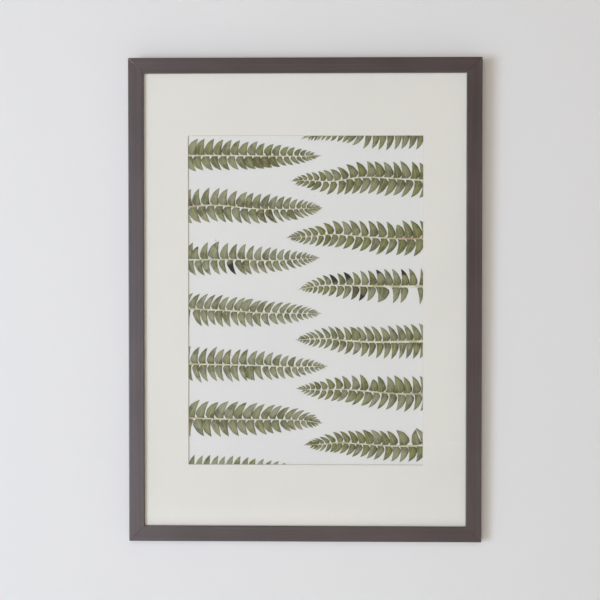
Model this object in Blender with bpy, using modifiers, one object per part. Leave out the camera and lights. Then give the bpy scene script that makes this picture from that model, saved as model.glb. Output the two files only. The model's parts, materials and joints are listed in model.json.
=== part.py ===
"""Fourteen pressed fern frond tips behind glass in a mitred, dark stained wooden frame.

Metres, +Z up. The frame hangs on a wall behind it: its glass faces -Y and its back faces +Y.
The origin is the centre of the whole object's box. Lengths below are in millimetres.
"""
import math

import bmesh
import bpy
from mathutils import Vector

MM = 0.001
GAP = 0.3  # clearance between neighbouring pieces

# Frame
SIGHT_WIDTH = 492.0
SIGHT_HEIGHT = 692.0
RAIL_FACE = 24.0
RAIL_DEPTH = 20.0
LIP_DEPTH = 4.0
REBATE_WIDTH = 5.0
FRONT_ARRIS = 1.2
BACK_ARRIS = 0.8
WALL_STANDOFF = 2.0

# Pack behind the lip, front to back
PACK_WIDTH = 500.0
PACK_HEIGHT = 700.0
GLASS_THICKNESS = 2.0
MAT_THICKNESS = 1.6
FROND_THICKNESS = 0.5
PAPER_THICKNESS = 0.3
BOARD_THICKNESS = 2.5
WINDOW_WIDTH = 356.0
WINDOW_HEIGHT = 500.5
WINDOW_OFF_CENTRE_X = 1.1  # the window is cut by hand, a little off the middle
WINDOW_OFF_CENTRE_Z = -0.4

# Back hardware
POINT_THICKNESS = 0.5
POINT_DEPTH_IN_WOOD = 5.0
POINT_SIDE_SPACING = 250.0
POINT_END_SPACING = 140.0
V_NAIL_LEG = 8.0
V_NAIL_STRIP = 0.8
V_NAIL_DEPTH = 7.0
V_NAIL_INSET = 7.0
HANGER_LENGTH = 46.0
HANGER_HEIGHT = 9.0
HANGER_SHEET = 0.6
HANGER_RISE = 1.1
HANGER_SCREW_SPACING = 36.0
SCREW_HEAD_RADIUS = 2.8
SCREW_SHANK_RADIUS = 1.2
SCREW_LENGTH = 12.0
SCREW_HOLE_LENGTH = 14.0
BUMPER_RADIUS = 6.0
BUMPER_SPACING = 470.0

# Places that follow from the dimensions
OUTER_WIDTH = SIGHT_WIDTH + 2 * RAIL_FACE
OUTER_HEIGHT = SIGHT_HEIGHT + 2 * RAIL_FACE
FRONT_Y = -(RAIL_DEPTH + WALL_STANDOFF) / 2
RAIL_BACK_Y = FRONT_Y + RAIL_DEPTH
WALL_Y = RAIL_BACK_Y + WALL_STANDOFF
GLASS_Y = FRONT_Y + LIP_DEPTH + GAP
MAT_Y = GLASS_Y + GLASS_THICKNESS + GAP
FROND_Y = MAT_Y + MAT_THICKNESS + GAP
PAPER_Y = FROND_Y + FROND_THICKNESS + GAP
BOARD_Y = PAPER_Y + PAPER_THICKNESS + GAP
POINT_Y = BOARD_Y + BOARD_THICKNESS + GAP
REBATE_WALL_INSET = RAIL_FACE - REBATE_WIDTH
BACK_WOOD_MIDDLE = REBATE_WALL_INSET / 2

# Fronds. Each is a rachis, root to tip in (across, up) from the window's middle, and two rows
# of pinnae counted back from the tip: where the first one sits, their pitch, how much the
# pitch grows towards the root, their reach and their lean towards the tip in degrees. The
# reach fades towards the tip over the taper length.
FROND_ROOT = 200.0
FRONDS = {
    "frond_left_1": {
        "rachis": [(-200, 221.5), (-120, 221.5), (-19.5, 220.5), (23, 221)],
        "taper": 72,
        "upper": (14.4, 13.4, -0.05, 27.5, 20),
        "lower": (5.3, 13.1, 0.07, 28.5, 23),
    },
    "frond_left_2": {
        "rachis": [(-200, 141), (-148.5, 145.5), (-114, 144), (-80, 140.5), (-29.5, 139.5), (25.5, 141.5)],
        "taper": 54,
        "upper": (6.4, 13.0, 0.09, 27, 11),
        "lower": (2.3, 13.0, 0.15, 27.5, 18),
    },
    "frond_left_3": {
        "rachis": [(-200, 62), (-110, 62.5), (-50, 61), (21.5, 65)],
        "taper": 66,
        "upper": (4.5, 12.2, 0.0, 28, 12),
        "lower": (7.3, 12.4, -0.02, 27.5, 21),
    },
    "frond_left_4": {
        "rachis": [(-200, -12), (-114, -16), (-73, -19), (-46, -19.5), (24, -20)],
        "taper": 66,
        "upper": (8.0, 12.2, -0.16, 26.5, 22),
        "lower": (8.0, 12.4, -0.21, 28, 13),
    },
    "frond_left_5": {
        "rachis": [(-200, -97.5), (-73, -100), (-17.5, -102), (33.5, -101)],
        "taper": 69,
        "upper": (8.4, 13.2, -0.12, 28, 17),
        "lower": (7.5, 12.5, -0.13, 30, 16),
    },
    "frond_left_6": {
        "rachis": [(-200, -180.5), (-100, -183), (-17.5, -183.5), (25.5, -188.5)],
        "taper": 60,
        "upper": (1.4, 14.1, 0.12, 30, 24),
        "lower": (9.5, 13.8, -0.08, 29, 15),
    },
    "frond_left_7": {
        "rachis": [(-200, -264), (-100, -264), (-40, -265.5), (20.5, -271)],
        "taper": 66,
        "upper": (1.2, 12.1, -0.09, 28, 14),
        "lower": (7.0, 12.5, 0.0, 28, 18),
    },
    "frond_right_1": {
        "rachis": [(200, 258), (140, 256), (95, 255), (70, 259.5), (35, 259), (12, 252.5), (-4, 246.5)],
        "taper": 62,
        "upper": (6.0, 12.5, 0.0, 28, 18),
        "lower": (13.0, 11.4, 0.07, 28, 17),
    },
    "frond_right_2": {
        "rachis": [(200, 182), (149, 185.5), (87, 188), (42.5, 182), (5.5, 183.5), (-20, 182)],
        "taper": 62,
        "upper": (5.7, 13.6, -0.04, 28, 20),
        "lower": (11.7, 13.7, -0.1, 30, 17),
    },
    "frond_right_3": {
        "rachis": [(200, 95), (139, 94.5), (77.5, 98.5), (44.5, 101), (15.5, 98.5), (-26.5, 96)],
        "taper": 66,
        "upper": (3.4, 13.9, -0.09, 28.5, 26),
        "lower": (8.8, 13.2, 0.07, 28.5, 17),
    },
    "frond_right_4": {
        "rachis": [(200, 21.5), (135, 21.5), (87, 22.5), (59.5, 23), (25.5, 22.5), (-8.5, 17)],
        "taper": 62,
        "upper": (6.1, 12.6, -0.07, 28.5, 14),
        "lower": (7.9, 12.8, -0.14, 29, 6),
    },
    "frond_right_5": {
        "rachis": [(200, -62), (135, -63.5), (94, -63.5), (52.5, -60.5), (32.5, -58.5), (-12.5, -60.5)],
        "taper": 61,
        "upper": (4.8, 12.2, -0.02, 28, 21),
        "lower": (1.3, 11.9, -0.22, 28.5, 9),
    },
    "frond_right_6": {
        "rachis": [
            (200, -142), (156, -143.5), (121, -141.5), (59.5, -136.5), (25.5, -137.5), (-11.5, -135.5),
        ],
        "taper": 64,
        "upper": (0.3, 13.8, -0.05, 29, 13),
        "lower": (12.4, 13.0, -0.08, 28.5, 17),
    },
    "frond_right_7": {
        "rachis": [(200, -221.5), (142, -223.5), (81, -220), (52.5, -218.5), (32.5, -220.5), (0.5, -222)],
        "taper": 60,
        "upper": (2.3, 12.6, -0.09, 27.5, 25),
        "lower": (13.6, 11.8, 0.18, 26.5, 15),
    },
}
RACHIS_HALF = 0.9
PINNA_WIDTH = 1.03  # share of the pitch
TIP_CROWDING = 0.8  # how far the pitch closes up at the very tip
TIP_CROWDING_LENGTH = 36.0
TIP_LEAN = 18.0  # extra lean at the very tip
TIP_LEAN_LENGTH = 40.0
PLAIN_TIP = 14.0  # no separate pinnae are drawn nearer the tip than this
PITCH_GROWTH_LENGTH = 200.0




def clear_scene():
    for obj in list(bpy.data.objects):
        bpy.data.objects.remove(obj)


def make_collection(name):
    collection = bpy.data.collections.new(name)
    bpy.context.scene.collection.children.link(collection)
    return collection


def make_material(name, colour, roughness, metallic=0.0, transmission=0.0):
    material = bpy.data.materials.new(name)
    material.use_nodes = True
    shader = material.node_tree.nodes["Principled BSDF"]
    shader.inputs["Base Color"].default_value = (*colour, 1.0)
    shader.inputs["Roughness"].default_value = roughness
    shader.inputs["Metallic"].default_value = metallic
    shader.inputs["Transmission Weight"].default_value = transmission
    return material


def place(obj, place_mm, turn=0.0, lie_flat=False):
    """Puts an object at a point in millimetres, turned about the front-to-back axis.

    A positive turn, in degrees, carries its +Z side towards +X. A flat outline drawn in
    its own X and Y first stands up into the X-Z plane, its own +Z facing the front.
    """
    obj.location = Vector(place_mm) * MM
    obj.rotation_euler = (math.radians(90 if lie_flat else 0), math.radians(turn), 0)


def add_piece(obj, material, parent):
    piece_collection.objects.link(obj)
    obj.data.materials.append(material)
    obj.parent = parent
    return obj


def mesh_object(name, shape):
    bmesh.ops.recalc_face_normals(shape, faces=shape.faces)
    mesh = bpy.data.meshes.new(name)
    shape.to_mesh(mesh)
    shape.free()
    return bpy.data.objects.new(name, mesh)


def block_object(name, size_mm):
    """A box with its centre at the object's origin."""
    shape = bmesh.new()
    bmesh.ops.create_cube(shape, size=1.0)
    bmesh.ops.scale(shape, verts=shape.verts, vec=Vector(size_mm) * MM)
    return mesh_object(name, shape)


def outline_object(name, outline_mm, thickness_mm):
    """A flat outline with thickness: a filled 2D curve, extruded either side of its plane."""
    curve = bpy.data.curves.new(name, "CURVE")
    curve.dimensions = "2D"
    curve.fill_mode = "BOTH"
    curve.extrude = thickness_mm / 2 * MM
    spline = curve.splines.new("POLY")
    spline.points.add(len(outline_mm) - 1)
    for point, (x, y) in zip(spline.points, outline_mm):
        point.co = (x * MM, y * MM, 0.0, 1.0)
    spline.use_cyclic_u = True
    return bpy.data.objects.new(name, curve)


def as_mesh(obj):
    """The same piece as a mesh with its caps welded on, so that Booleans can use it."""
    bpy.context.scene.collection.objects.link(obj)
    bpy.context.view_layer.update()
    graph = bpy.context.evaluated_depsgraph_get()
    mesh = bpy.data.meshes.new_from_object(obj.evaluated_get(graph))
    solid = bpy.data.objects.new(obj.name, mesh)
    solid.matrix_world = obj.matrix_world
    curve_name = obj.name
    bpy.data.objects.remove(obj)
    solid.name = curve_name
    shape = bmesh.new()
    shape.from_mesh(mesh)
    bmesh.ops.remove_doubles(shape, verts=shape.verts, dist=0.00001)
    bmesh.ops.recalc_face_normals(shape, faces=shape.faces)
    shape.to_mesh(mesh)
    shape.free()
    return solid


def add_cutter(obj, collection):
    collection.objects.link(obj)
    obj.hide_render = True
    obj.display_type = "WIRE"
    return obj


def cut_with(obj, collection):
    cut = obj.modifiers.new("cut", "BOOLEAN")
    cut.operation = "DIFFERENCE"
    cut.solver = "EXACT"
    cut.operand_type = "COLLECTION"
    cut.collection = collection


def arc(centre, radius, start, end, steps=3):
    """Points along an arc in (depth, height), angles in degrees from the depth axis."""
    angles = [math.radians(start + (end - start) * i / steps) for i in range(steps + 1)]
    return [
        (centre[0] + radius * math.cos(a), centre[1] + radius * math.sin(a)) for a in angles
    ]


# Wooden frame


def rail_profile():
    """The moulding's section, in (depth, distance inwards from the outer edge as -z)."""
    front = FRONT_Y + FRONT_ARRIS
    back = RAIL_BACK_Y - BACK_ARRIS
    return [
        *arc((back, -BACK_ARRIS), BACK_ARRIS, 0, 90, 2),
        *arc((front, -FRONT_ARRIS), FRONT_ARRIS, 90, 180),
        *arc((front, FRONT_ARRIS - RAIL_FACE), FRONT_ARRIS, 180, 270),
        (FRONT_Y + LIP_DEPTH, -RAIL_FACE),
        (FRONT_Y + LIP_DEPTH, -REBATE_WALL_INSET),
        (RAIL_BACK_Y, -REBATE_WALL_INSET),
    ]


def make_rail(name, length, place_mm, turn, parent):
    """A length of moulding along X, outer edge up at z = 0, its ends mitred at 45 degrees."""
    shape = bmesh.new()
    half = length / 2
    mitre_clearance = GAP / 2 * math.sqrt(2)
    ends = []
    for side in (-1, 1):
        ends.append(
            [
                shape.verts.new(Vector((side * (half + z - mitre_clearance), y, z)) * MM)
                for y, z in rail_profile()
            ]
        )
    shape.faces.new(ends[0])
    shape.faces.new(ends[1][::-1])
    count = len(ends[0])
    for i in range(count):
        j = (i + 1) % count
        shape.faces.new((ends[0][i], ends[0][j], ends[1][j], ends[1][i]))
    rail = add_piece(mesh_object(name, shape), stained_wood, parent)
    place(rail, place_mm, turn)
    cut_with(rail, rail_cutters)
    return rail


def v_outline(clearance=0.0):
    """An L of strip whose corner points to the frame's top left corner."""
    leg = V_NAIL_LEG + clearance
    inner = V_NAIL_STRIP + clearance
    return [
        (-clearance, clearance),
        (leg, clearance),
        (leg, -inner),
        (inner, -inner),
        (inner, -leg),
        (-clearance, -leg),
    ]


def make_v_nail(name, side_x, side_z, turn, parent):
    middle_y = RAIL_BACK_Y - GAP - V_NAIL_DEPTH / 2
    corner = (
        side_x * (OUTER_WIDTH / 2 - V_NAIL_INSET),
        middle_y,
        side_z * (OUTER_HEIGHT / 2 - V_NAIL_INSET),
    )
    nail = add_piece(outline_object(name, v_outline(), V_NAIL_DEPTH), zinc_steel, parent)
    place(nail, corner, turn, lie_flat=True)
    slot = outline_object(name + "_slot", v_outline(GAP), V_NAIL_DEPTH + 4 * GAP)
    place(slot, corner, turn, lie_flat=True)
    add_cutter(as_mesh(slot), rail_cutters)


# Pack


def make_sheet(name, width, height, front_y, thickness, material, parent):
    sheet = add_piece(block_object(name, (width, thickness, height)), material, parent)
    place(sheet, (0, front_y + thickness / 2, 0))
    return sheet


def cut_mat_window(mat):
    """Cuts the window with a 45 degree bevel that opens towards the front."""
    overshoot = 1.0
    depth = MAT_THICKNESS + 2 * overshoot
    cutter = block_object("mat_window_cutter", (WINDOW_WIDTH, depth, WINDOW_HEIGHT))
    for vertex in cutter.data.vertices:
        to_front = vertex.co.y < 0
        spread = MAT_THICKNESS + overshoot if to_front else -overshoot
        vertex.co.x += math.copysign(spread * MM, vertex.co.x)
        vertex.co.z += math.copysign(spread * MM, vertex.co.z)
    place(cutter, (WINDOW_OFF_CENTRE_X, MAT_Y + MAT_THICKNESS / 2, WINDOW_OFF_CENTRE_Z))
    add_cutter(cutter, mat_cutters)
    cut_with(mat, mat_cutters)


# Fronds


def rachis_points(controls, steps=40):
    """A smooth curve through the control points, as close points from tip to root."""
    knots = [Vector(point) for point in reversed(controls)]
    knots = [2 * knots[0] - knots[1], *knots, 2 * knots[-1] - knots[-2]]
    points = []
    for a, b, c, d in zip(knots, knots[1:], knots[2:], knots[3:]):
        for i in range(steps):
            t = i / steps
            points.append(
                0.5
                * (
                    2 * b
                    + (c - a) * t
                    + (2 * a - 5 * b + 4 * c - d) * t * t
                    + (3 * b - 3 * c + d - a) * t * t * t
                )
            )
    points.append(knots[-2])
    return points


def point_from_tip(points, distance):
    """The place a distance back from the tip, and the direction there towards the tip."""
    walked = 0.0
    for near, far in zip(points, points[1:]):
        length = (far - near).length
        if walked + length >= distance:
            return near.lerp(far, (distance - walked) / length), (near - far).normalized()
        walked += length
    return None, None


def pinna_outline(station, forward, outward, width, reach, shift):
    """Four points round a pinna, from its root-ward foot to its tip-ward shoulder."""

    def at(up, along):
        return station + forward * (shift * up**1.6 + along * width) + outward * (up * reach)

    foot = station - forward * (0.42 * width) + outward * (RACHIS_HALF + 0.3)
    return [foot, at(0.6, -0.5), at(1.0, 0.0), at(0.3, 0.36)]


def pinna_row(points, row, taper, side):
    """One row of pinnae, listed from the tip back to the root."""
    first, pitch, drift, full_reach, lean = row
    pinnae = []
    distance = first
    while True:
        step = pitch * (1 + drift * (distance / PITCH_GROWTH_LENGTH - 0.5))
        step *= 1 - TIP_CROWDING * math.exp(-distance / TIP_CROWDING_LENGTH)
        station, forward = point_from_tip(points, distance)
        if station is None or abs(station.x) > FROND_ROOT - 0.6 * step:
            return pinnae
        if distance > PLAIN_TIP:
            reach = full_reach * (1 - math.exp(-distance / taper))
            angle = math.radians(lean + TIP_LEAN * math.exp(-distance / TIP_LEAN_LENGTH))
            outward = Vector((-forward.y, forward.x)) * side
            shift = reach * math.tan(angle)
            width = step * PINNA_WIDTH
            pinnae.append(pinna_outline(station, forward, outward, width, reach, shift))
        distance += step


def frond_outline(frond):
    points = rachis_points(frond["rachis"])
    tip, root = points[0], points[-1]
    left_turning = 1 if root.x > 0 else -1
    upper = pinna_row(points, frond["upper"], frond["taper"], -left_turning)
    lower = pinna_row(points, frond["lower"], frond["taper"], left_turning)
    outline = [root + Vector((0, RACHIS_HALF))]
    for pinna in reversed(upper):
        outline.extend(pinna)
    outline.append(tip)
    for pinna in lower:
        outline.extend(reversed(pinna))
    outline.append(root - Vector((0, RACHIS_HALF)))
    return [(point.x, point.y) for point in outline]


def make_frond(name, frond, parent):
    obj = outline_object(name, frond_outline(frond), FROND_THICKNESS)
    add_piece(obj, pressed_fern, parent)
    place(obj, (0, FROND_Y + FROND_THICKNESS / 2, 0), lie_flat=True)


# Back hardware


def make_retaining_point(number, x, z, turn, parent):
    """A flat steel point driven into the rebate wall, its tab lying over the backing board."""
    tab, half, wood = 11.0, 4.0, POINT_DEPTH_IN_WOOD
    outline = [
        (-tab, -half + 1.5),
        (-tab + 1.5, -half),
        (1.5, -half),
        (wood, -1.0),
        (wood, 1.0),
        (1.5, half),
        (-tab + 1.5, half),
        (-tab, half - 1.5),
    ]
    name = f"retaining_point_{number:02d}"
    middle_y = POINT_Y + POINT_THICKNESS / 2
    point = add_piece(outline_object(name, outline, POINT_THICKNESS), zinc_steel, parent)
    place(point, (x, middle_y, z), turn, lie_flat=True)
    reach = wood + GAP + 2.0
    slot = block_object(name + "_slot", (2 * reach, POINT_THICKNESS + 2 * GAP, 2 * (half + GAP)))
    for vertex in slot.data.vertices:
        vertex.co.x = min(vertex.co.x, (wood + GAP) * MM)
    place(slot, (x, middle_y, z), turn)
    add_cutter(slot, rail_cutters)


def hanger_outline():
    """A plate with rounded ends, its lower edge cut into saw teeth between the screws."""
    half, radius = HANGER_LENGTH / 2, HANGER_HEIGHT / 2
    teeth, pitch, deep = 7, 3.0, 1.6
    right = arc((half - radius, 0), radius, -90, 90, 6)
    left = arc((-half + radius, 0), radius, 90, 270, 6)
    first = -teeth * pitch / 2
    saw = []
    for i in range(teeth):
        saw.append((first + i * pitch, -radius))
        saw.append((first + (i + 0.5) * pitch, -radius + deep))
    saw.append((first + teeth * pitch, -radius))
    return right + left + saw


def make_hanger(parent):
    """The middle of the plate stands off the wood, so that a nail's head goes behind it."""
    middle_y = RAIL_BACK_Y + GAP + HANGER_SHEET / 2
    z = OUTER_HEIGHT / 2 - BACK_WOOD_MIDDLE
    plate = as_mesh(outline_object("sawtooth_hanger", hanger_outline(), HANGER_SHEET))
    bends = (11.5, 13.5)
    shape = bmesh.new()
    shape.from_mesh(plate.data)
    for side in (-1, 1):
        for bend in bends:
            bmesh.ops.bisect_plane(
                shape,
                geom=[*shape.verts, *shape.edges, *shape.faces],
                plane_co=(side * bend * MM, 0, 0),
                plane_no=(1, 0, 0),
            )
    for vertex in shape.verts:
        if abs(vertex.co.x) < (bends[0] + bends[1]) / 2 * MM:
            vertex.co.z -= HANGER_RISE * MM
    shape.to_mesh(plate.data)
    shape.free()
    add_piece(plate, zinc_steel, parent)
    place(plate, (0, middle_y, z), lie_flat=True)
    cut_with(plate, hanger_cutters)
    for name, side in (("left", -1), ("right", 1)):
        make_hanger_screw(f"hanger_screw_{name}", side * HANGER_SCREW_SPACING / 2, z, parent)


def screw_object(name, head_radius, shank_radius, head, length, steps=16):
    """A turned screw: its axis is Z, its head is up, the head's underside is at z = 0."""
    profile = [
        (0.0, head),
        (head_radius * 0.7, head),
        (head_radius, head * 0.4),
        (head_radius, 0.0),
        (shank_radius, 0.0),
        (shank_radius, -length * 0.75),
        (0.0, -length),
    ]
    mesh = bpy.data.meshes.new(name)
    edges = [(i, i + 1) for i in range(len(profile) - 1)]
    mesh.from_pydata([(r * MM, 0, z * MM) for r, z in profile], edges, [])
    screw = bpy.data.objects.new(name, mesh)
    turn = screw.modifiers.new("turn", "SCREW")
    turn.steps = steps
    turn.render_steps = steps
    turn.use_merge_vertices = True
    turn.merge_threshold = 0.00001
    return screw


def make_hanger_screw(name, x, z, parent):
    under_head = RAIL_BACK_Y + GAP + HANGER_SHEET + GAP
    head = WALL_Y - under_head
    screw = screw_object(name, SCREW_HEAD_RADIUS, SCREW_SHANK_RADIUS, head, SCREW_LENGTH)
    add_piece(screw, zinc_steel, parent)
    screw.location = Vector((x, under_head, z)) * MM
    screw.rotation_euler = (math.radians(-90), 0, 0)
    for label, cutters in (("pilot", rail_cutters), ("hole", hanger_cutters)):
        shape = bmesh.new()
        bmesh.ops.create_cone(
            shape,
            cap_ends=True,
            segments=12,
            radius1=(SCREW_SHANK_RADIUS + GAP) * MM,
            radius2=(SCREW_SHANK_RADIUS + GAP) * MM,
            depth=2 * SCREW_HOLE_LENGTH * MM,
        )
        hole = add_cutter(mesh_object(f"{name}_{label}", shape), cutters)
        hole.location = Vector((x, under_head, z)) * MM
        hole.rotation_euler = (math.radians(-90), 0, 0)


def make_bumper(name, x, parent):
    thickness = WALL_STANDOFF - GAP
    shape = bmesh.new()
    bmesh.ops.create_cone(
        shape,
        cap_ends=True,
        segments=24,
        radius1=BUMPER_RADIUS * MM,
        radius2=BUMPER_RADIUS * MM,
        depth=thickness * MM,
    )
    bumper = add_piece(mesh_object(name, shape), felt, parent)
    bumper.location = Vector((x, WALL_Y - thickness / 2, BACK_WOOD_MIDDLE - OUTER_HEIGHT / 2)) * MM
    bumper.rotation_euler = (math.radians(90), 0, 0)


clear_scene()
piece_collection = make_collection("pressed_flower_frame")
rail_cutters = make_collection("rail_cutters")
mat_cutters = make_collection("mat_cutters")
hanger_cutters = make_collection("hanger_cutters")

stained_wood = make_material("stained_wood", (0.115, 0.085, 0.078), 0.42)
picture_glass = make_material("picture_glass", (0.97, 0.99, 0.98), 0.02, transmission=1.0)
mat_board = make_material("mat_board", (0.74, 0.72, 0.68), 0.85)
pressed_fern = make_material("pressed_fern", (0.155, 0.175, 0.085), 0.75)
white_paper = make_material("white_paper", (0.68, 0.67, 0.65), 0.9)
hardboard = make_material("hardboard", (0.29, 0.185, 0.105), 0.7)
zinc_steel = make_material("zinc_steel", (0.62, 0.62, 0.61), 0.35, metallic=1.0)
felt = make_material("felt", (0.13, 0.12, 0.11), 0.95)

frame = bpy.data.objects.new("frame", None)
piece_collection.objects.link(frame)

half_width, half_height = OUTER_WIDTH / 2, OUTER_HEIGHT / 2
make_rail("rail_top", OUTER_WIDTH, (0, 0, half_height), 0, frame)
make_rail("stile_right", OUTER_HEIGHT, (half_width, 0, 0), 90, frame)
make_rail("rail_bottom", OUTER_WIDTH, (0, 0, -half_height), 180, frame)
make_rail("stile_left", OUTER_HEIGHT, (-half_width, 0, 0), 270, frame)
make_v_nail("v_nail_top_left", -1, 1, 0, frame)
make_v_nail("v_nail_top_right", 1, 1, 90, frame)
make_v_nail("v_nail_bottom_right", 1, -1, 180, frame)
make_v_nail("v_nail_bottom_left", -1, -1, 270, frame)

make_sheet(
    "glass_pane", PACK_WIDTH, PACK_HEIGHT, GLASS_Y, GLASS_THICKNESS, picture_glass, frame
)
window_mat = make_sheet(
    "window_mat", PACK_WIDTH, PACK_HEIGHT, MAT_Y, MAT_THICKNESS, mat_board, frame
)
cut_mat_window(window_mat)
for frond_name, frond_shape in FRONDS.items():
    make_frond(frond_name, frond_shape, frame)
make_sheet(
    "mounting_paper", PACK_WIDTH, PACK_HEIGHT, PAPER_Y, PAPER_THICKNESS, white_paper, frame
)
make_sheet(
    "backing_board", PACK_WIDTH, PACK_HEIGHT, BOARD_Y, BOARD_THICKNESS, hardboard, frame
)

point_x = half_width - REBATE_WALL_INSET
point_z = half_height - REBATE_WALL_INSET
point_places = [(point_x, z, 0) for z in (POINT_SIDE_SPACING, 0, -POINT_SIDE_SPACING)]
point_places += [(x, -point_z, 90) for x in (POINT_END_SPACING, -POINT_END_SPACING)]
point_places += [(-point_x, z, 180) for z in (-POINT_SIDE_SPACING, 0, POINT_SIDE_SPACING)]
point_places += [(x, point_z, -90) for x in (-POINT_END_SPACING, POINT_END_SPACING)]
for index, (place_x, place_z, point_turn) in enumerate(point_places, start=1):
    make_retaining_point(index, place_x, place_z, point_turn, frame)

make_hanger(frame)
make_bumper("wall_bumper_left", -BUMPER_SPACING / 2, frame)
make_bumper("wall_bumper_right", BUMPER_SPACING / 2, frame)
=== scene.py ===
import json
import math

import bmesh
import bpy
import numpy as np
from mathutils import Euler, Matrix, Vector

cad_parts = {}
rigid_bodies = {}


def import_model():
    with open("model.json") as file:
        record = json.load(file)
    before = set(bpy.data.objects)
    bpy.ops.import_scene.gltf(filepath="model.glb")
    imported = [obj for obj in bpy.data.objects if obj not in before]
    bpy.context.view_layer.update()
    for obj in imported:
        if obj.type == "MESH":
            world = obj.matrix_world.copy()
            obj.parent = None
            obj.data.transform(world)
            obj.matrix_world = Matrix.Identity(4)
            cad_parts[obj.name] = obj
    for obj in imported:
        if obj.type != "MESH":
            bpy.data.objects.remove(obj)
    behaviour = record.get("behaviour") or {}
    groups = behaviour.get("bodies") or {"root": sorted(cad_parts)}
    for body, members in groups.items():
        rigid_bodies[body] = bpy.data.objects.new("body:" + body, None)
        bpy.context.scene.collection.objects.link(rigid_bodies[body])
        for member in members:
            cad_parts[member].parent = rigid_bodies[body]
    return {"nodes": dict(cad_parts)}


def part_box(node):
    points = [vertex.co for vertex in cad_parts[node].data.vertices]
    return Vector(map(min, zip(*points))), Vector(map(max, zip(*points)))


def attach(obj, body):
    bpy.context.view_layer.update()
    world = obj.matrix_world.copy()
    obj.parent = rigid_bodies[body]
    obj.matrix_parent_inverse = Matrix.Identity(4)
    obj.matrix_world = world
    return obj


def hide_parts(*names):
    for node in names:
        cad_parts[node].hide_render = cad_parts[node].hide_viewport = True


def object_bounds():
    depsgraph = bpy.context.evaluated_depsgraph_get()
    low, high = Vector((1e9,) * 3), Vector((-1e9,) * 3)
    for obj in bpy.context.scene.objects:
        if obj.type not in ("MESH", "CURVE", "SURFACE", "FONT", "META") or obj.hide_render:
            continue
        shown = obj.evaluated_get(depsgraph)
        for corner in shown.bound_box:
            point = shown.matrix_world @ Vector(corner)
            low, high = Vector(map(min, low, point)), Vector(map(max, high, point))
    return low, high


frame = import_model()
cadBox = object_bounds()
nodes = frame["nodes"]
mm = 0.001
print("packed frame loaded:", len(nodes), "solids")


def linear(hexColour):  # sRGB hex to linear RGBA
    channels = [int(hexColour[i:i + 2], 16) / 255 for i in (1, 3, 5)]
    return (*[c / 12.92 if c <= 0.04045 else ((c + 0.055) / 1.055) ** 2.4 for c in channels], 1.0)


def addNode(tree, kind, values=None, links=None, **settings):
    node = tree.nodes.new(kind)
    for key, value in settings.items():
        setattr(node, key, value)
    for key, value in (values or {}).items():
        node.inputs[key].default_value = value
    for key, source in (links or {}).items():
        tree.links.new(source, node.inputs[key])
    return node


def newMaterial(name):
    material = bpy.data.materials.new(name)
    material.use_nodes = True
    tree = material.node_tree
    tree.nodes.clear()
    return material, tree


def finishMaterial(tree, shader):
    addNode(tree, "ShaderNodeOutputMaterial", links={"Surface": shader.outputs[0]})


def mapped(tree, scale=(1.0, 1.0, 1.0)):  # the piece's own coordinates, in metres before the scale
    source = addNode(tree, "ShaderNodeTexCoord").outputs["Object"]
    scaled = addNode(tree, "ShaderNodeMapping", {"Scale": scale}, {"Vector": source})
    return scaled.outputs["Vector"]


def mixColour(tree, factor, a, b):
    node = addNode(tree, "ShaderNodeMix", data_type="RGBA")
    for index, value in ((0, factor), (6, a), (7, b)):
        if isinstance(value, (int, float, tuple)):
            node.inputs[index].default_value = value
        else:
            tree.links.new(value, node.inputs[index])
    return node.outputs[2]


def ramp(tree, source, low, high, atLow=0.0, atHigh=1.0):
    return addNode(tree, "ShaderNodeMapRange",
                   {"From Min": low, "From Max": high, "To Min": atLow, "To Max": atHigh},
                   {"Value": source}, interpolation_type="SMOOTHSTEP").outputs["Result"]


def mathNode(tree, operation, a, b=0.0):
    node = addNode(tree, "ShaderNodeMath", operation=operation)
    for index, value in ((0, a), (1, b)):
        if isinstance(value, (int, float)):
            node.inputs[index].default_value = value
        else:
            tree.links.new(value, node.inputs[index])
    return node.outputs[0]


# A wall behind the frame, a floor under it, a large cool light from the left and a warm one
# from the front. Places and sizes are in metres, powers in watts, angles in degrees.
view = {
    "lens": 85.0,            # millimetres, as the sensor's width
    "sensor": 36.0,
    "place": (0.041, -2.173, 0.0505),
    "pitch": 88.68,
    "yaw": 1.28,
}
studio = {
    "wall": "#E3E3E3",
    "floor": "#D9D7D3",
    "wallSize": 6.0,
    "floorDrop": 0.95,
    "lean": 0.8,             # how far the frame's top leans out from the wall
    "wallGap": 0.3,          # millimetres between the wall and the felt discs
    "key": {"place": (-2.4, -3.4, -0.3), "size": 1.8, "power": 98.0, "colour": "#DCE9FF"},
    "fill": {"place": (-0.3, -3.6, 0.5), "size": 2.5, "power": 52.0, "colour": "#FFF5E6"},
    "rear": {"place": (0.8, 2.4, 1.4), "size": 1.8, "power": 60.0, "colour": "#FFFFFF"},
    "room": "#FFF4E2",
    "roomStrength": 0.17,
}


def addCamera():
    data = bpy.data.cameras.new("frontView")
    data.lens = view["lens"]
    data.sensor_width = view["sensor"]
    camera = bpy.data.objects.new("frontView", data)
    camera.location = view["place"]
    camera.rotation_euler = (math.radians(view["pitch"]), 0.0, math.radians(view["yaw"]))
    bpy.context.scene.collection.objects.link(camera)
    bpy.context.scene.camera = camera


def addAreaLight(name, spec):  # aimed at the middle of the frame
    data = bpy.data.lights.new(name, "AREA")
    data.shape = "DISK"
    data.size = spec["size"]
    data.energy = spec["power"]
    data.color = linear(spec["colour"])[:3]
    lamp = bpy.data.objects.new(name, data)
    lamp.location = spec["place"]
    aim = -Vector(spec["place"])
    lamp.rotation_euler = aim.to_track_quat("-Z", "Y").to_euler()
    bpy.context.scene.collection.objects.link(lamp)
    return lamp


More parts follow.
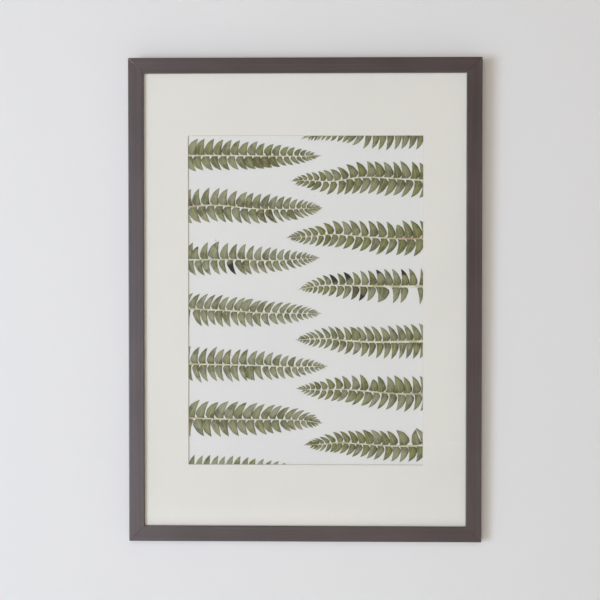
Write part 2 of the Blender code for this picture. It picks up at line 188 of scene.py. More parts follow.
def addPlane(name, size, place, turn, material):
    shape = bmesh.new()
    bmesh.ops.create_grid(shape, x_segments=1, y_segments=1, size=size / 2)
    bmesh.ops.transform(shape, verts=shape.verts,
                        matrix=Matrix.Translation(place) @ Euler(turn).to_matrix().to_4x4())
    mesh = bpy.data.meshes.new(name)
    shape.to_mesh(mesh)
    shape.free()
    mesh.materials.append(material)
    plane = bpy.data.objects.new(name, mesh)
    bpy.context.scene.collection.objects.link(plane)
    return plane


def paintedWall():  # emulsion on plaster: flat, with a faint roller stipple; clear from behind
    material, tree = newMaterial("paintedWall")
    stipple = addNode(tree, "ShaderNodeTexNoise", {"Scale": 380.0, "Detail": 3.0},  # 2.6 mm
                      {"Vector": mapped(tree)})
    bump = addNode(tree, "ShaderNodeBump", {"Strength": 0.05, "Distance": 0.0003},
                   {"Height": stipple.outputs["Fac"]})
    paint = addNode(tree, "ShaderNodeBsdfPrincipled",
                    {"Base Color": linear(studio["wall"]), "Roughness": 0.9},
                    {"Normal": bump.outputs["Normal"]})
    clear = addNode(tree, "ShaderNodeBsdfTransparent")
    side = addNode(tree, "ShaderNodeNewGeometry")
    both = addNode(tree, "ShaderNodeMixShader",
                   links={0: side.outputs["Backfacing"], 1: paint.outputs[0], 2: clear.outputs[0]})
    finishMaterial(tree, both)
    return material


def paleFloor():  # painted boards: pale and nearly flat
    material, tree = newMaterial("paleFloor")
    paint = addNode(tree, "ShaderNodeBsdfPrincipled",
                    {"Base Color": linear(studio["floor"]), "Roughness": 0.8})
    finishMaterial(tree, paint)
    return material


def addStudio():
    addCamera()
    scene = bpy.context.scene
    scene.view_settings.view_transform = "Standard"
    world = bpy.data.worlds.new("room")
    world.use_nodes = True
    background = world.node_tree.nodes["Background"]
    background.inputs["Color"].default_value = linear(studio["room"])
    background.inputs["Strength"].default_value = studio["roomStrength"]
    scene.world = world
    for name in ("key", "fill", "rear"):
        lamp = addAreaLight(name + "Light", studio[name])
        lamp.visible_glossy = name != "fill"  # or the glass would mirror it
    lean = math.radians(studio["lean"])
    wallY = cadBox[1][1] + studio["wallGap"] * mm - cadBox[0][2] * math.tan(lean)
    wall = addPlane("wall", studio["wallSize"], (0, wallY, 0), (math.pi / 2 - lean, 0, 0),
                    paintedWall())
    wall.visible_shadow = False
    addPlane("floor", studio["wallSize"] * 2, (0, 0, -studio["floorDrop"]), (0, 0, 0),
             paleFloor())


addStudio()
print("studio ready")


# Lengths in millimetres.
woodFinish = {
    "stain": "#4A3D3C",
    "stainLight": "#554846",
    # the dark of the pores, also used for the painted shade along the edges of the face
    "poreAndEdgeShade": "#2F2726",
    "grainWidth": 1.1,       # between growth lines on the moulding's face
    "grainRun": 112.0,       # how far a growth line runs before it wanders
    "poreWidth": 0.625,
    "poreLength": 14.0,
    "roughness": 0.34,
    "roughnessSpread": 0.1,
    "coatRoughness": 0.32,
    "paintedEdgeShade": 1.2,            # painted shade: a dark band this wide along each edge of the face, standing in for the rounded arris turning away from the light
    "paintedEdgeShadeDarkness": 0.7,
}


def stainedWood(name, along, pieceName):
    # stained and varnished hardwood moulding: dark, satin, with a fine straight grain
    material, tree = newMaterial(name)
    grainScale = [1 / (woodFinish["grainWidth"] * mm)] * 3
    grainScale[along] = 1 / (woodFinish["grainRun"] * mm)
    grain = addNode(tree, "ShaderNodeTexNoise", {"Scale": 0.35, "Detail": 4.0, "Roughness": 0.6},
                    {"Vector": mapped(tree, tuple(grainScale))})
    broad = addNode(tree, "ShaderNodeTexNoise", {"Scale": 9.0, "Detail": 2.0},
                    {"Vector": mapped(tree)})
    poreScale = [1 / (woodFinish["poreWidth"] * mm)] * 3
    poreScale[along] = 1 / (woodFinish["poreLength"] * mm)
    pores = addNode(tree, "ShaderNodeTexNoise", {"Scale": 1.0, "Detail": 1.0},
                    {"Vector": mapped(tree, tuple(poreScale))})
    dark = linear(woodFinish["poreAndEdgeShade"])
    colour = mixColour(tree, ramp(tree, grain.outputs["Fac"], 0.35, 0.68),
                       linear(woodFinish["stain"]), linear(woodFinish["stainLight"]))
    colour = mixColour(tree, ramp(tree, broad.outputs["Fac"], 0.3, 0.75, 0.0, 0.35), colour, dark)
    poreMask = ramp(tree, pores.outputs["Fac"], 0.62, 0.74, 0.0, 0.55)
    colour = mixColour(tree, poreMask, colour, dark)

    lowest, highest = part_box(pieceName)
    across = 2 - along  # the axis from the sight edge to the outer edge
    outer = max(abs(lowest[across]), abs(highest[across]))
    sight = min(abs(lowest[across]), abs(highest[across]))
    place = addNode(tree, "ShaderNodeTexCoord")
    parts = addNode(tree, "ShaderNodeSeparateXYZ", links={"Vector": place.outputs["Object"]})
    away = mathNode(tree, "ABSOLUTE", parts.outputs["XYZ"[across]])
    band = woodFinish["paintedEdgeShade"] * mm
    darkness = woodFinish["paintedEdgeShadeDarkness"]
    # painted shade and painted dark reflection: the front face darkens towards its sight and outer
    # edges, where the rounded arrises would turn away from the light
    edge = mathNode(tree, "MAXIMUM", ramp(tree, away, sight + band, sight, 0.0, darkness),
                    ramp(tree, away, outer - band, outer, 0.0, darkness))
    front = ramp(tree, parts.outputs["Y"], lowest[1] + 2 * band, lowest[1] + band)
    colour = mixColour(tree, mathNode(tree, "MULTIPLY", edge, front), colour, dark)

    bump = addNode(tree, "ShaderNodeBump", {"Strength": 0.35, "Distance": 0.00012},
                   {"Height": mathNode(tree, "SUBTRACT", grain.outputs["Fac"], poreMask)})
    smoothest = woodFinish["roughness"]
    rough = ramp(tree, grain.outputs["Fac"], 0.3, 0.7,
                 smoothest, smoothest + woodFinish["roughnessSpread"])
    shader = addNode(tree, "ShaderNodeBsdfPrincipled",
                     {"IOR": 1.5, "Coat Weight": 1.0,
                      "Coat Roughness": woodFinish["coatRoughness"]},
                     {"Base Color": colour, "Roughness": rough, "Normal": bump.outputs["Normal"]})
    finishMaterial(tree, shader)
    return material


glassClear = "#FEFFFE"


def pictureGlass():  # float glass: clear and polished, so only a faint sheen shows
    material, tree = newMaterial("floatGlass")
    glass = addNode(tree, "ShaderNodeBsdfPrincipled",
                    {"Base Color": linear(glassClear), "Roughness": 0.0, "IOR": 1.5,
                     "Transmission Weight": 1.0, "Specular IOR Level": 0.35})
    clear = addNode(tree, "ShaderNodeBsdfTransparent", {"Color": linear(glassClear)})
    path = addNode(tree, "ShaderNodeLightPath")
    both = addNode(tree, "ShaderNodeMixShader",
                   links={0: path.outputs["Is Camera Ray"],
                          1: clear.outputs[0], 2: glass.outputs[0]})
    finishMaterial(tree, both)
    return material


# Fibre and crumbs in millimetres; each crumb is x, z and radius.
matBoard = {"body": "#E6E2DE", "fleck": "#E0DCD8", "roughness": 0.9, "fibre": 0.5,
            "fibreBump": 0.25, "crumbs": []}
mountingPaper = {"body": "#E4E2E2", "fleck": "#DEDCDF", "roughness": 0.85, "fibre": 0.35,
                 "fibreBump": 0.15, "crumb": "#4A4636",
                 "crumbs": [(-136.5, 92.3, 0.95), (15.1, 159.4, 0.6), (-129.3, 247.6, 0.8)]}


def paperBoard(name, sheet):  # cotton mat board or paper: flat and soft, faintly fibrous
    material, tree = newMaterial(name)
    body, fleck = linear(sheet["body"]), linear(sheet["fleck"])
    place = mapped(tree)
    fine = addNode(tree, "ShaderNodeTexNoise", {"Scale": 1000.0 / sheet["fibre"], "Detail": 4.0},
                   {"Vector": place})
    cloudy = addNode(tree, "ShaderNodeTexNoise", {"Scale": 7.0, "Detail": 2.0}, {"Vector": place})
    colour = mixColour(tree, ramp(tree, fine.outputs["Fac"], 0.35, 0.75, 0.0, 0.5), body, fleck)
    colour = mixColour(tree, ramp(tree, cloudy.outputs["Fac"], 0.35, 0.8, 0.0, 0.45), colour,
                       fleck)
    for x, z, radius in sheet["crumbs"]:  # specks of leaf that fell on the sheet
        away = addNode(tree, "ShaderNodeVectorMath", {1: (x * mm, 0.0, z * mm)},
                       {0: mapped(tree, (1, 0, 1))}, operation="DISTANCE").outputs["Value"]
        colour = mixColour(tree, ramp(tree, away, radius * mm, 0.5 * radius * mm), colour,
                           linear(sheet["crumb"]))
    bump = addNode(tree, "ShaderNodeBump", {"Strength": sheet["fibreBump"], "Distance": 0.0001},
                   {"Height": fine.outputs["Fac"]})
    shader = addNode(tree, "ShaderNodeBsdfPrincipled",
                     {"Roughness": sheet["roughness"], "Specular IOR Level": 0.2},
                     {"Base Color": colour, "Normal": bump.outputs["Normal"]})
    finishMaterial(tree, shader)
    return material


hardboard = {"fibre": "#7A5A3C", "fibreLight": "#9C7852", "blotch": "#6B4C31", "screen": 110.0}


def pressedHardboard():  # wood fibre pressed on a mesh screen: brown, with a woven rough side
    material, tree = newMaterial("pressedHardboard")
    place = mapped(tree)
    fibre = addNode(tree, "ShaderNodeTexNoise", {"Scale": 420.0, "Detail": 5.0}, {"Vector": place})
    blotch = addNode(tree, "ShaderNodeTexNoise", {"Scale": 14.0, "Detail": 3.0}, {"Vector": place})
    weave = {"Scale": hardboard["screen"], "Distortion": 1.0}  # a wire every 2.9 mm
    screenX = addNode(tree, "ShaderNodeTexWave", weave, {"Vector": place}, bands_direction="X")
    screenZ = addNode(tree, "ShaderNodeTexWave", weave, {"Vector": place}, bands_direction="Z")
    screen = mathNode(tree, "MULTIPLY", screenX.outputs["Fac"], screenZ.outputs["Fac"])
    colour = mixColour(tree, ramp(tree, fibre.outputs["Fac"], 0.3, 0.7),
                       linear(hardboard["fibre"]), linear(hardboard["fibreLight"]))
    colour = mixColour(tree, ramp(tree, blotch.outputs["Fac"], 0.4, 0.75, 0.0, 0.5), colour,
                       linear(hardboard["blotch"]))
    bump = addNode(tree, "ShaderNodeBump", {"Strength": 0.6, "Distance": 0.0004},
                   {"Height": mathNode(tree, "ADD", screen, fibre.outputs["Fac"])})
    shader = addNode(tree, "ShaderNodeBsdfPrincipled", {"Roughness": 0.75},
                     {"Base Color": colour, "Normal": bump.outputs["Normal"]})
    finishMaterial(tree, shader)
    return material


zincFinish = {"bright": "#C9CACB", "dull": "#A9ABAE", "smoothest": 0.28, "roughest": 0.44}


def zincPlate():  # bright zinc on pressed steel: grey metal with faint spangle and rolling lines
    material, tree = newMaterial("zincPlatedSteel")
    place = mapped(tree)
    spangle = addNode(tree, "ShaderNodeTexVoronoi", {"Scale": 420.0}, {"Vector": place})  # 2.4 mm
    lines = addNode(tree, "ShaderNodeTexNoise", {"Scale": 900.0, "Detail": 2.0},
                    {"Vector": mapped(tree, (0.05, 1, 1))})
    colour = mixColour(tree, ramp(tree, spangle.outputs["Distance"], 0.1, 0.8),
                       linear(zincFinish["bright"]), linear(zincFinish["dull"]))
    rough = ramp(tree, lines.outputs["Fac"], 0.3, 0.7,
                 zincFinish["smoothest"], zincFinish["roughest"])
    shader = addNode(tree, "ShaderNodeBsdfPrincipled", {"Metallic": 1.0},
                     {"Base Color": colour, "Roughness": rough})
    finishMaterial(tree, shader)
    return material


feltColours = {"deep": "#3A3734", "fibre": "#6A6661"}


def woolFelt():  # pressed wool: dark grey, with short fibres that catch light at the rim
    material, tree = newMaterial("woolFelt")
    fibre = addNode(tree, "ShaderNodeTexNoise", {"Scale": 1500.0, "Detail": 5.0},
                    {"Vector": mapped(tree)})
    colour = mixColour(tree, fibre.outputs["Fac"],
                       linear(feltColours["deep"]), linear(feltColours["fibre"]))
    bump = addNode(tree, "ShaderNodeBump", {"Strength": 0.8, "Distance": 0.0004},
                   {"Height": fibre.outputs["Fac"]})
    shader = addNode(tree, "ShaderNodeBsdfPrincipled",
                     {"Roughness": 0.95, "Sheen Weight": 0.4, "Sheen Roughness": 0.5},
                     {"Base Color": colour, "Normal": bump.outputs["Normal"]})
    finishMaterial(tree, shader)
    return material


def dress(name, material):
    mesh = nodes[name].data
    mesh.materials.clear()
    mesh.materials.append(material)


railWood = stainedWood("stainedRail", 0, "rail_top")
stileWood = stainedWood("stainedStile", 2, "stile_right")
zinc = zincPlate()
for railName in ("rail_top", "rail_bottom"):
    dress(railName, railWood)
for stileName in ("stile_left", "stile_right"):
    dress(stileName, stileWood)
dress("glass_pane", pictureGlass())
dress("window_mat", paperBoard("cottonMatBoard", matBoard))
dress("mounting_paper", paperBoard("wovePaper", mountingPaper))
dress("backing_board", pressedHardboard())
felt = woolFelt()
for nodeName in nodes:
    if nodeName.startswith(("v_nail", "retaining_point", "hanger_screw", "sawtooth")):
        dress(nodeName, zinc)
    if nodeName.startswith("wall_bumper"):
        dress(nodeName, felt)
print("frame materials ready")


# Lengths in millimetres, across and up from the middle of the frame. A rachis runs from root to
# tip. Each row is where its first pinna sits back from the tip, the pitch, how much the pitch
# grows towards the root, the reach, and the lean towards the tip in degrees; the reach fades
# towards the tip over the taper. Fill widens the pinnae, grey turns olive to sage, stalk thickens
# the rachis, and it is reddish beyond blush. The odd pinnae are found by row and x: their reach
# and width are factors, their lean is added, and age, tipDark and footDark are dead tissue.
fronds = {
    "frond_left_1": {
        "rachis": [(-200, 221.5), (-120, 221.5), (-19.5, 220.5), (23, 221)],
        "taper": 72, "upper": (14.4, 13.4, -0.05, 27.5, 21), "lower": (5.3, 13.1, 0.07, 25.5, 32),
        "fill": 1.08, "grey": 0.35,
        "odd": [
            ("lower", -86, {"kind": "full", "width": 1.4, "tone": 0.3, "age": 0.08}),
            ("lower", -74, {"kind": "full", "width": 1.4, "tone": 0.2, "age": 0.14}),
            ("lower", -62, {"kind": "wavy", "width": 1.4, "tone": 0.1, "age": 0.22}),
            ("lower", -51, {"kind": "full", "width": 1.3, "tone": 0.2, "age": 0.1}),
            ("lower", -138, {"footDark": 0.7}),
            ("upper", -136, {"tipDark": 0.35}),
        ],
    },
    "frond_left_2": {
        "rachis": [(-200, 141), (-148.5, 145.5), (-114, 144), (-80, 140.5), (-29.5, 139.5),
                   (25.5, 141.5)],
        "taper": 54, "upper": (6.4, 13.0, 0.09, 27.5, 17), "lower": (2.3, 13.0, 0.15, 26.5, 29),
        "fill": 1.06, "grey": 0.5, "blush": 150,
        "odd": [
            ("lower", -68, {"age": 0.2, "tone": 0.3, "width": 1.25}),
            ("lower", -56, {"age": 0.22, "tone": 0.3}),
            ("lower", -44, {"width": 0.8}),
            ("lower", -27, {"age": 0.14, "tone": 0.2, "width": 1.5}),
        ],
    },
    "frond_left_3": {
        "rachis": [(-200, 62), (-110, 62.5), (-50, 61), (21.5, 65)],
        "taper": 66, "upper": (4.5, 13.0, 0.08, 28, 15), "lower": (7.3, 12.4, -0.02, 26.5, 26),
        "fill": 0.95, "grey": 0.65,
        "odd": [
            ("upper", -165, {"reach": 0.78, "tipDark": 0.7, "shift": -5}),
            ("upper", -152, {"shift": -5}),
            ("upper", -139, {"width": 1.45, "reach": 1.14, "kind": "wavy", "shift": -3}),
            ("lower", -121, {"tipDark": 1.5, "width": 0.95}),
            ("lower", -108, {"footDark": 1.0, "lean": 6, "age": 0.12}),
            ("lower", -95, {"kind": "full", "width": 1.08, "age": 0.1, "tone": 0.2}),
        ],
    },
    "frond_left_4": {
        "rachis": [(-200, -12), (-114, -16), (-73, -19), (-46, -19.5), (24, -20)],
        "taper": 66, "upper": (8.0, 12.2, -0.16, 25, 33), "lower": (8.0, 12.4, -0.21, 27, 21),
        "grey": 0.7, "blush": 165,
        "odd": [
            ("upper", -98, {"width": 1.5}),
            ("lower", -176, {"width": 0.45, "lean": -14}),
        ],
    },
    "frond_left_5": {
        "rachis": [(-200, -97.5), (-73, -100), (-17.5, -102), (33.5, -101)],
        "taper": 69, "upper": (8.4, 13.2, -0.12, 28, 20), "lower": (7.5, 12.5, -0.13, 29, 22),
        "fill": 0.97, "grey": 0.65,
        "odd": [
            ("upper", -158, {"tipDark": 0.5}),
            ("upper", -146, {"footDark": 0.8}),
            ("lower", -101, {"width": 0.85}),
            ("lower", -85, {"width": 1.7, "tone": 0.05, "age": 0.1, "kind": "full"}),
        ],
    },
    "frond_left_6": {
        "rachis": [(-200, -180.5), (-100, -183), (-17.5, -183.5), (25.5, -188.5)],
        "taper": 60, "upper": (1.4, 14.1, 0.12, 29, 32), "lower": (9.5, 13.8, -0.08, 28.5, 23),
        "fill": 1.1, "grey": 0.5, "blush": 165,
        "odd": [
            ("upper", -4, {"width": 1.4}),
            ("lower", -176, {"lean": -14}),
        ],
    },
    "frond_left_7": {
        "rachis": [(-200, -264), (-100, -264), (-40, -265.5), (20.5, -271)],
        "taper": 66, "upper": (1.2, 12.1, -0.09, 28, 14), "lower": (7.0, 12.5, 0.0, 28, 18),
        "grey": 0.4,
    },
    "frond_right_1": {
        "rachis": [(200, 258), (140, 256), (95, 255), (70, 259.5), (35, 259), (12, 252.5),
                   (-4, 246.5)],
        "taper": 62, "upper": (6.0, 12.5, 0.0, 28, 18), "lower": (13.0, 11.4, 0.07, 28, 17),
        "grey": 0.3,
        "odd": [
            ("lower", 170, {"tipDark": 0.3}),
        ],
    },
    "frond_right_2": {
        "rachis": [(200, 182), (149, 185.5), (87, 188), (42.5, 182), (5.5, 183.5), (-20, 182)],
        "taper": 62, "upper": (5.7, 13.6, -0.04, 28, 20), "lower": (11.7, 13.7, -0.1, 29, 25),
        "fill": 1.08, "grey": 0.05,
    },
    "frond_right_3": {
        "rachis": [(200, 95), (139, 94.5), (77.5, 98.5), (44.5, 101), (15.5, 98.5), (-26.5, 96)],
        "taper": 66, "upper": (3.4, 13.9, -0.09, 28.5, 26), "lower": (8.8, 13.2, 0.07, 27.5, 26),
        "fill": 1.05, "grey": 0.1, "blush": 135,
        "odd": [
            ("upper", 144, {"kind": "blunt", "reach": 0.78, "lean": -10}),
        ],
    },
    "frond_right_4": {
        "rachis": [(200, 21.5), (135, 21.5), (87, 22.5), (59.5, 23), (25.5, 22.5), (-8.5, 17)],
        "taper": 62, "upper": (6.1, 12.6, -0.07, 28.5, 19), "lower": (7.9, 12.8, -0.14, 29, 13),
        "grey": 0.25, "stalk": 1.4, "blush": 175,
        "odd": [
            ("upper", 47, {"tipDark": 1.5, "width": 0.95}),
            ("upper", 58, {"age": 0.1}),
            ("upper", 69, {"tipDark": 1.25}),
            ("upper", 104, {"age": 0.14, "tipDark": 0.3}),
            ("upper", 115, {"tipDark": 0.8, "width": 1.25}),
            ("upper", 152, {"tipDark": 1.0}),
            ("lower", 79.5, {"age": 0.72}),
            ("lower", 92, {"tipDark": 1.15, "age": 0.1}),
            ("lower", 118, {"width": 1.8, "shift": -3}),
            ("lower", 129, {"gone": True}),
            ("lower", 163, {"gone": True}),
            ("upper", 176, {"lean": -14, "width": 0.6}),
            ("lower", 176, {"lean": -8, "width": 0.6}),
        ],
    },
    "frond_right_5": {
        "rachis": [(200, -62), (135, -63.5), (94, -63.5), (52.5, -60.5), (32.5, -58.5),
                   (-12.5, -60.5)],
        "taper": 61, "upper": (4.8, 12.2, -0.02, 28, 25), "lower": (1.3, 11.9, -0.22, 28.5, 15),
        "grey": 0.3, "stalk": 1.4,
        "odd": [
            ("upper", 82, {"width": 1.4}),
        ],
    },
    "frond_right_6": {
        "rachis": [(200, -142), (156, -143.5), (121, -141.5), (59.5, -136.5), (25.5, -137.5),
                   (-11.5, -135.5)],
        "taper": 64, "upper": (0.3, 13.8, -0.05, 29, 18), "lower": (12.4, 13.0, -0.08, 28.5, 25),
        "grey": 0.25, "blush": 150,
        "odd": [
            ("upper", 104, {"kind": "blunt", "reach": 0.78, "lean": -12}),
            ("upper", 143, {"width": 1.35}),
            ("lower", 75, {"width": 1.35}),
            ("lower", 103, {"width": 1.35}),
        ],
    },
    "frond_right_7": {
        "rachis": [(200, -221.5), (142, -223.5), (81, -220), (52.5, -218.5), (32.5, -220.5),
                   (0.5, -222)],
        "taper": 60, "upper": (2.3, 12.6, -0.09, 26.5, 30), "lower": (13.6, 11.8, 0.18, 26.5, 21),
        "fill": 1.1, "grey": 0.15,
        "odd": [
            ("upper", 96, {"width": 1.35}),
            ("upper", 110, {"width": 1.35}),
            ("upper", 152, {"width": 1.45, "shift": -4}),
            ("upper", 165, {"gone": True}),
            ("upper", 177, {"lean": -22, "flip": True, "width": 1.1}),
        ],
    },
}

# Lengths in millimetres, angles in degrees.
growth = {
    "rootX": 200.0,          # every frond is cut off under the mat here
    "tipCrowding": 0.8,      # how far the pitch closes up at the very tip
    "crowdingLength": 36.0,
    "rootLean": -5.0,        # change of lean far from the tip
    "tipLean": 44.0,         # extra lean at the very tip
    "tipLeanLength": 62.0,
    "greatestLean": 56.0,
    "pitchLength": 200.0,    # the drift of the pitch is given over this length
    "endRoom": 0.6,          # the last pinna stays this share of a pitch from the cut
    "pinnaWidth": 1.12,      # share of the pitch
    "leanNarrowing": 0.8,    # power of the lean's cosine that narrows a pinna
    "tipSlimming": 0.1,
    "footGap": 0.35,         # the pinna's own stalk starts this far from the rachis's middle
    "footGapLength": 60.0,   # and nearer than that within this length of the tip
    "shortest": 0.4,         # pinnae that reach less than this are left out
    "scatter": {"reach": 0.03, "width": 0.05, "angle": 0.03, "roll": 0.02, "tone": 0.22},
    "commonKinds": [0, 0, 1, 2],  # places in pinnaKinds to draw from
    "spear": {"length": 18.0, "width": 5.8, "past": 2.2},  # the undivided end of the blade
    "rachisRoot": 1.35,      # radius at the root
    "rachisTip": 0.38,
    "rachisTaper": 0.8,
    "rachisSides": 8,
    "rachisHeight": 0.42,    # of its middle above the paper
    "rachisSteps": 12,       # rings between two points of the path
    "pathSteps": 60,
    "blushLength": 25.0,     # over which the red comes in
    "paperClearance": 0.12,
    "seed": 11,
}

# One pinna, of length 1 and width 1 before the tree scales it. Heights in millimetres.
pinna = {
    "along": 9,              # faces from foot to tip: few, because there are hundreds of pinnae
    "across": 4,             # faces from edge to edge above; the underside has one
    "closeAtFoot": 1.7,      # rows of faces crowd towards the foot and the tip
    "closeAtTip": 1.35,
    "halfWidth": 0.46,
    "belly": 0.5,            # how far the root-ward side swells past the middle
    "fullness": 2.3,         # the higher, the later that side turns in to the tip
    "bluntFullness": 3.6,
    "auricle": 0.05,         # the small ear on the tip-ward side of the foot
    "sickle": 0.62,
    "teeth": 0.026,          # share of the width
    "slant": 0.18,           # of the foot, towards the frond's tip
    "thickness": 0.22,
    "lift": 0.35,
    "cupping": 0.10,         # the edges curl up
    "twist": 0.10,
    "ripple": 0.06,
    "seed": 40,
}
pinnaKinds = ["plain", "full", "wavy", "blunt", "spear"]  # the first three cockle differently


def faceOutwards(shape):
    bmesh.ops.recalc_face_normals(shape, faces=shape.faces)
    if shape.calc_volume(signed=True) < 0:  # a leaf is too flat for the first step to be sure
        bmesh.ops.reverse_faces(shape, faces=shape.faces)


def widthAt(u, blunt=False):
    # half widths at a share u of the way from foot to tip, root-ward then tip-ward
    half = pinna["halfWidth"]
    fullness = pinna["bluntFullness"] if blunt else pinna["fullness"]
    rootWard = half * (1 + pinna["belly"] * u) * (1 - u ** fullness) ** 0.95
    tipWard = half * (1 - u) ** (0.6 if blunt else 1.0)
    tipWard = tipWard + pinna["auricle"] * np.exp(-((u - 0.09) / 0.06) ** 2)
    cutAway = np.clip(0.15 + u / 0.17, 0, 1)  # the root-ward side starts as a wedge
    shoulder = np.clip(0.5 + u / 0.08, 0, 1)
    return rootWard * cutAway, tipWard * shoulder


def pinnaRows(kind):
    # share of the length, centre line and half widths of each row of vertices
    even = np.linspace(0, 1, pinna["along"] + 1)
    atFoot = (2 * even) ** pinna["closeAtFoot"] * (1 - 0.5 ** pinna["closeAtTip"])
    u = np.where(even < 0.5, atFoot, 1 - (1 - even) ** pinna["closeAtTip"])
    rootWard, tipWard = widthAt(u, kind == "blunt")
    if kind == "spear":  # scalloped, as pinnae grown together
        rootWard = tipWard = 0.5 * (1 - u) ** 0.85 * (1 + 0.2 * np.sin(u * 34))
    bend = {"blunt": 0.2, "spear": 0.0}.get(kind, 1.0)
    centre = pinna["sickle"] * bend * (u ** 1.6 - u)
    return u, centre, rootWard, tipWard


def cockled(u, v, wobble):  # height of the dry, slightly wavy blade
    height = pinna["cupping"] * abs(v) ** 0.7 * math.sin(math.pi * min(u * 1.1, 1))
    height += pinna["twist"] * math.sin(5 * u + wobble[0]) * v
    return height + pinna["ripple"] * math.sin(9 * u + wobble[1] + 2 * v)


def makePinna(name, hand, kind, seed):
    # One pinna lying on the paper, foot at the origin and tip at y = 1, heights in metres.
    # The frond's tip is towards +x for hand 1, and towards -x for hand -1.
    wobble = np.random.default_rng(seed).normal(0, 1, 6)
    rows, columns = pinna["along"], pinna["across"]
    shares, centre, rootWard, tipWard = pinnaRows(kind)
    shape = bmesh.new()
    uvLayer = shape.loops.layers.uv.new("blade")
    sheets = []
    for under in (False, True):
        grid = []
        for i, u in enumerate(shares):
            line = []
            for j in (0, columns) if under else range(columns + 1):
                v = (j / columns * 2 - 1) * (i < rows)  # the tip is one point
                side = rootWard[i] if v < 0 else tipWard[i]
                tooth = pinna["teeth"] * (1 if i % 2 else -1) * (abs(v) == 1) * (1 - u)
                x = centre[i] + v * (side + tooth)
                y = u + pinna["slant"] * v * side * (1 - u) ** 2
                height = cockled(u, v, wobble)
                if under:
                    height = min(height, 0) - pinna["thickness"] * (1 - 0.5 * u)
                z = (height + pinna["lift"]) * mm
                line.append((shape.verts.new((x * hand, y, z)), (j / columns, i / rows)))
            grid.append(line)
        sheets.append(grid)
    top, bottom = sheets
    faces = []
    for grid in sheets:
        for line, ahead in zip(grid, grid[1:]):
            for j in range(len(line) - 1):
                faces.append((line[j], line[j + 1], ahead[j + 1], ahead[j]))
    for i in range(rows):
        for side in (0, -1):
            faces.append((top[i][side], top[i + 1][side], bottom[i + 1][side], bottom[i][side]))
    faces.append((*top[0], *bottom[0][::-1]))
    for corners in faces:
        face = shape.faces.new([vert for vert, place in corners])
        for loop, (vert, place) in zip(face.loops, corners):
            loop[uvLayer].uv = place
    bmesh.ops.remove_doubles(shape, verts=shape.verts, dist=1e-6)
    faceOutwards(shape)
    mesh = bpy.data.meshes.new(name)
    shape.to_mesh(mesh)
    shape.free()
    mesh.shade_smooth()
    return bpy.data.objects.new(name, mesh)


def makePinnaLibrary():
    # two hands of each kind, in a collection that is never shown
    library = bpy.data.collections.new("pinnaLibrary")
    for index, kind in enumerate(pinnaKinds):
        for handIndex, hand in enumerate((1, -1)):
            obj = makePinna(f"pinna_{index}_{handIndex}", hand, kind, pinna["seed"] + index)
            library.objects.link(obj)
    return library


def rachisPath(controls, steps):  # a smooth curve through the points, tip first
    knots = [np.array(point, float) for point in reversed(controls)]
    knots = [2 * knots[0] - knots[1], *knots, 2 * knots[-1] - knots[-2]]
    points = []
    for a, b, c, d in zip(knots, knots[1:], knots[2:], knots[3:]):
        for i in range(steps):
            t = i / steps
            points.append(0.5 * (2 * b + (c - a) * t + (2 * a - 5 * b + 4 * c - d) * t * t
                                 + (3 * b - 3 * c + d - a) * t ** 3))
    points.append(knots[-2])
    return np.array(points)


def alongPath(points, distance):  # the place this far back from the tip, and the way to the tip
    steps = np.linalg.norm(np.diff(points, axis=0), axis=1)
    walked = np.concatenate([[0], np.cumsum(steps)])
    if distance >= walked[-1]:
        return None, None
    place = np.array([np.interp(distance, walked, points[:, k]) for k in (0, 1)])
    index = min(int(np.searchsorted(walked, distance, side="right")) - 1, len(steps) - 1)
    forward = (points[index] - points[index + 1]) / steps[index]
    return place, forward


def rowStations(frond, rowName, path, chance):
    first, pitch, drift, fullReach, lean = frond[rowName]
    toTip = 1 if path[0][0] > path[-1][0] else -1
    outSign = toTip if rowName == "upper" else -toTip
    fill = growth["pinnaWidth"] * frond.get("fill", 1.0)
    scatter = growth["scatter"]
    stations = []
    distance = first
    while True:
        crowding = math.exp(-distance / growth["crowdingLength"])
        step = pitch * (1 + drift * (distance / growth["pitchLength"] - 0.5))
        step *= 1 - growth["tipCrowding"] * crowding
        place, forward = alongPath(path, distance)
        if place is None or abs(place[0]) > growth["rootX"] - growth["endRoom"] * step:
            return stations
        reach = fullReach * (1 - math.exp(-distance / frond["taper"]))
        bend = growth["tipLean"] * math.exp(-distance / growth["tipLeanLength"])
        angle = math.radians(min(lean + growth["rootLean"] + bend, growth["greatestLean"]))
        outward = np.array([-forward[1], forward[0]]) * outSign
        gap = growth["footGap"] * min(1.0, distance / growth["footGapLength"])
        stations.append({
            "place": place + outward * gap, "forward": forward, "outSign": outSign,
            "reach": (reach - gap) * (1 + scatter["reach"] * chance.normal()),
            "width": step * fill * (1 + scatter["width"] * chance.normal())
            * (1 - growth["tipSlimming"] * crowding),
            "angle": angle + scatter["angle"] * chance.normal(),
            "kind": int(chance.choice(growth["commonKinds"])),
            "roll": scatter["roll"] * chance.normal(),
            "tone": float(np.clip(0.5 + scatter["tone"] * chance.normal(), 0, 1)),
            "age": 0.0, "tipDark": 0.0, "footDark": 0.0,
        })
        distance += step


def changeStation(station, changes):
    for key, value in changes.items():
        if key in ("reach", "width"):
            station[key] *= value
        elif key == "lean":
            station["angle"] += math.radians(value)
        elif key == "kind":
            station["kind"] = pinnaKinds.index(value)
        elif key == "shift":
            station["place"] = station["place"] + station["forward"] * value
        else:
            station[key] = value


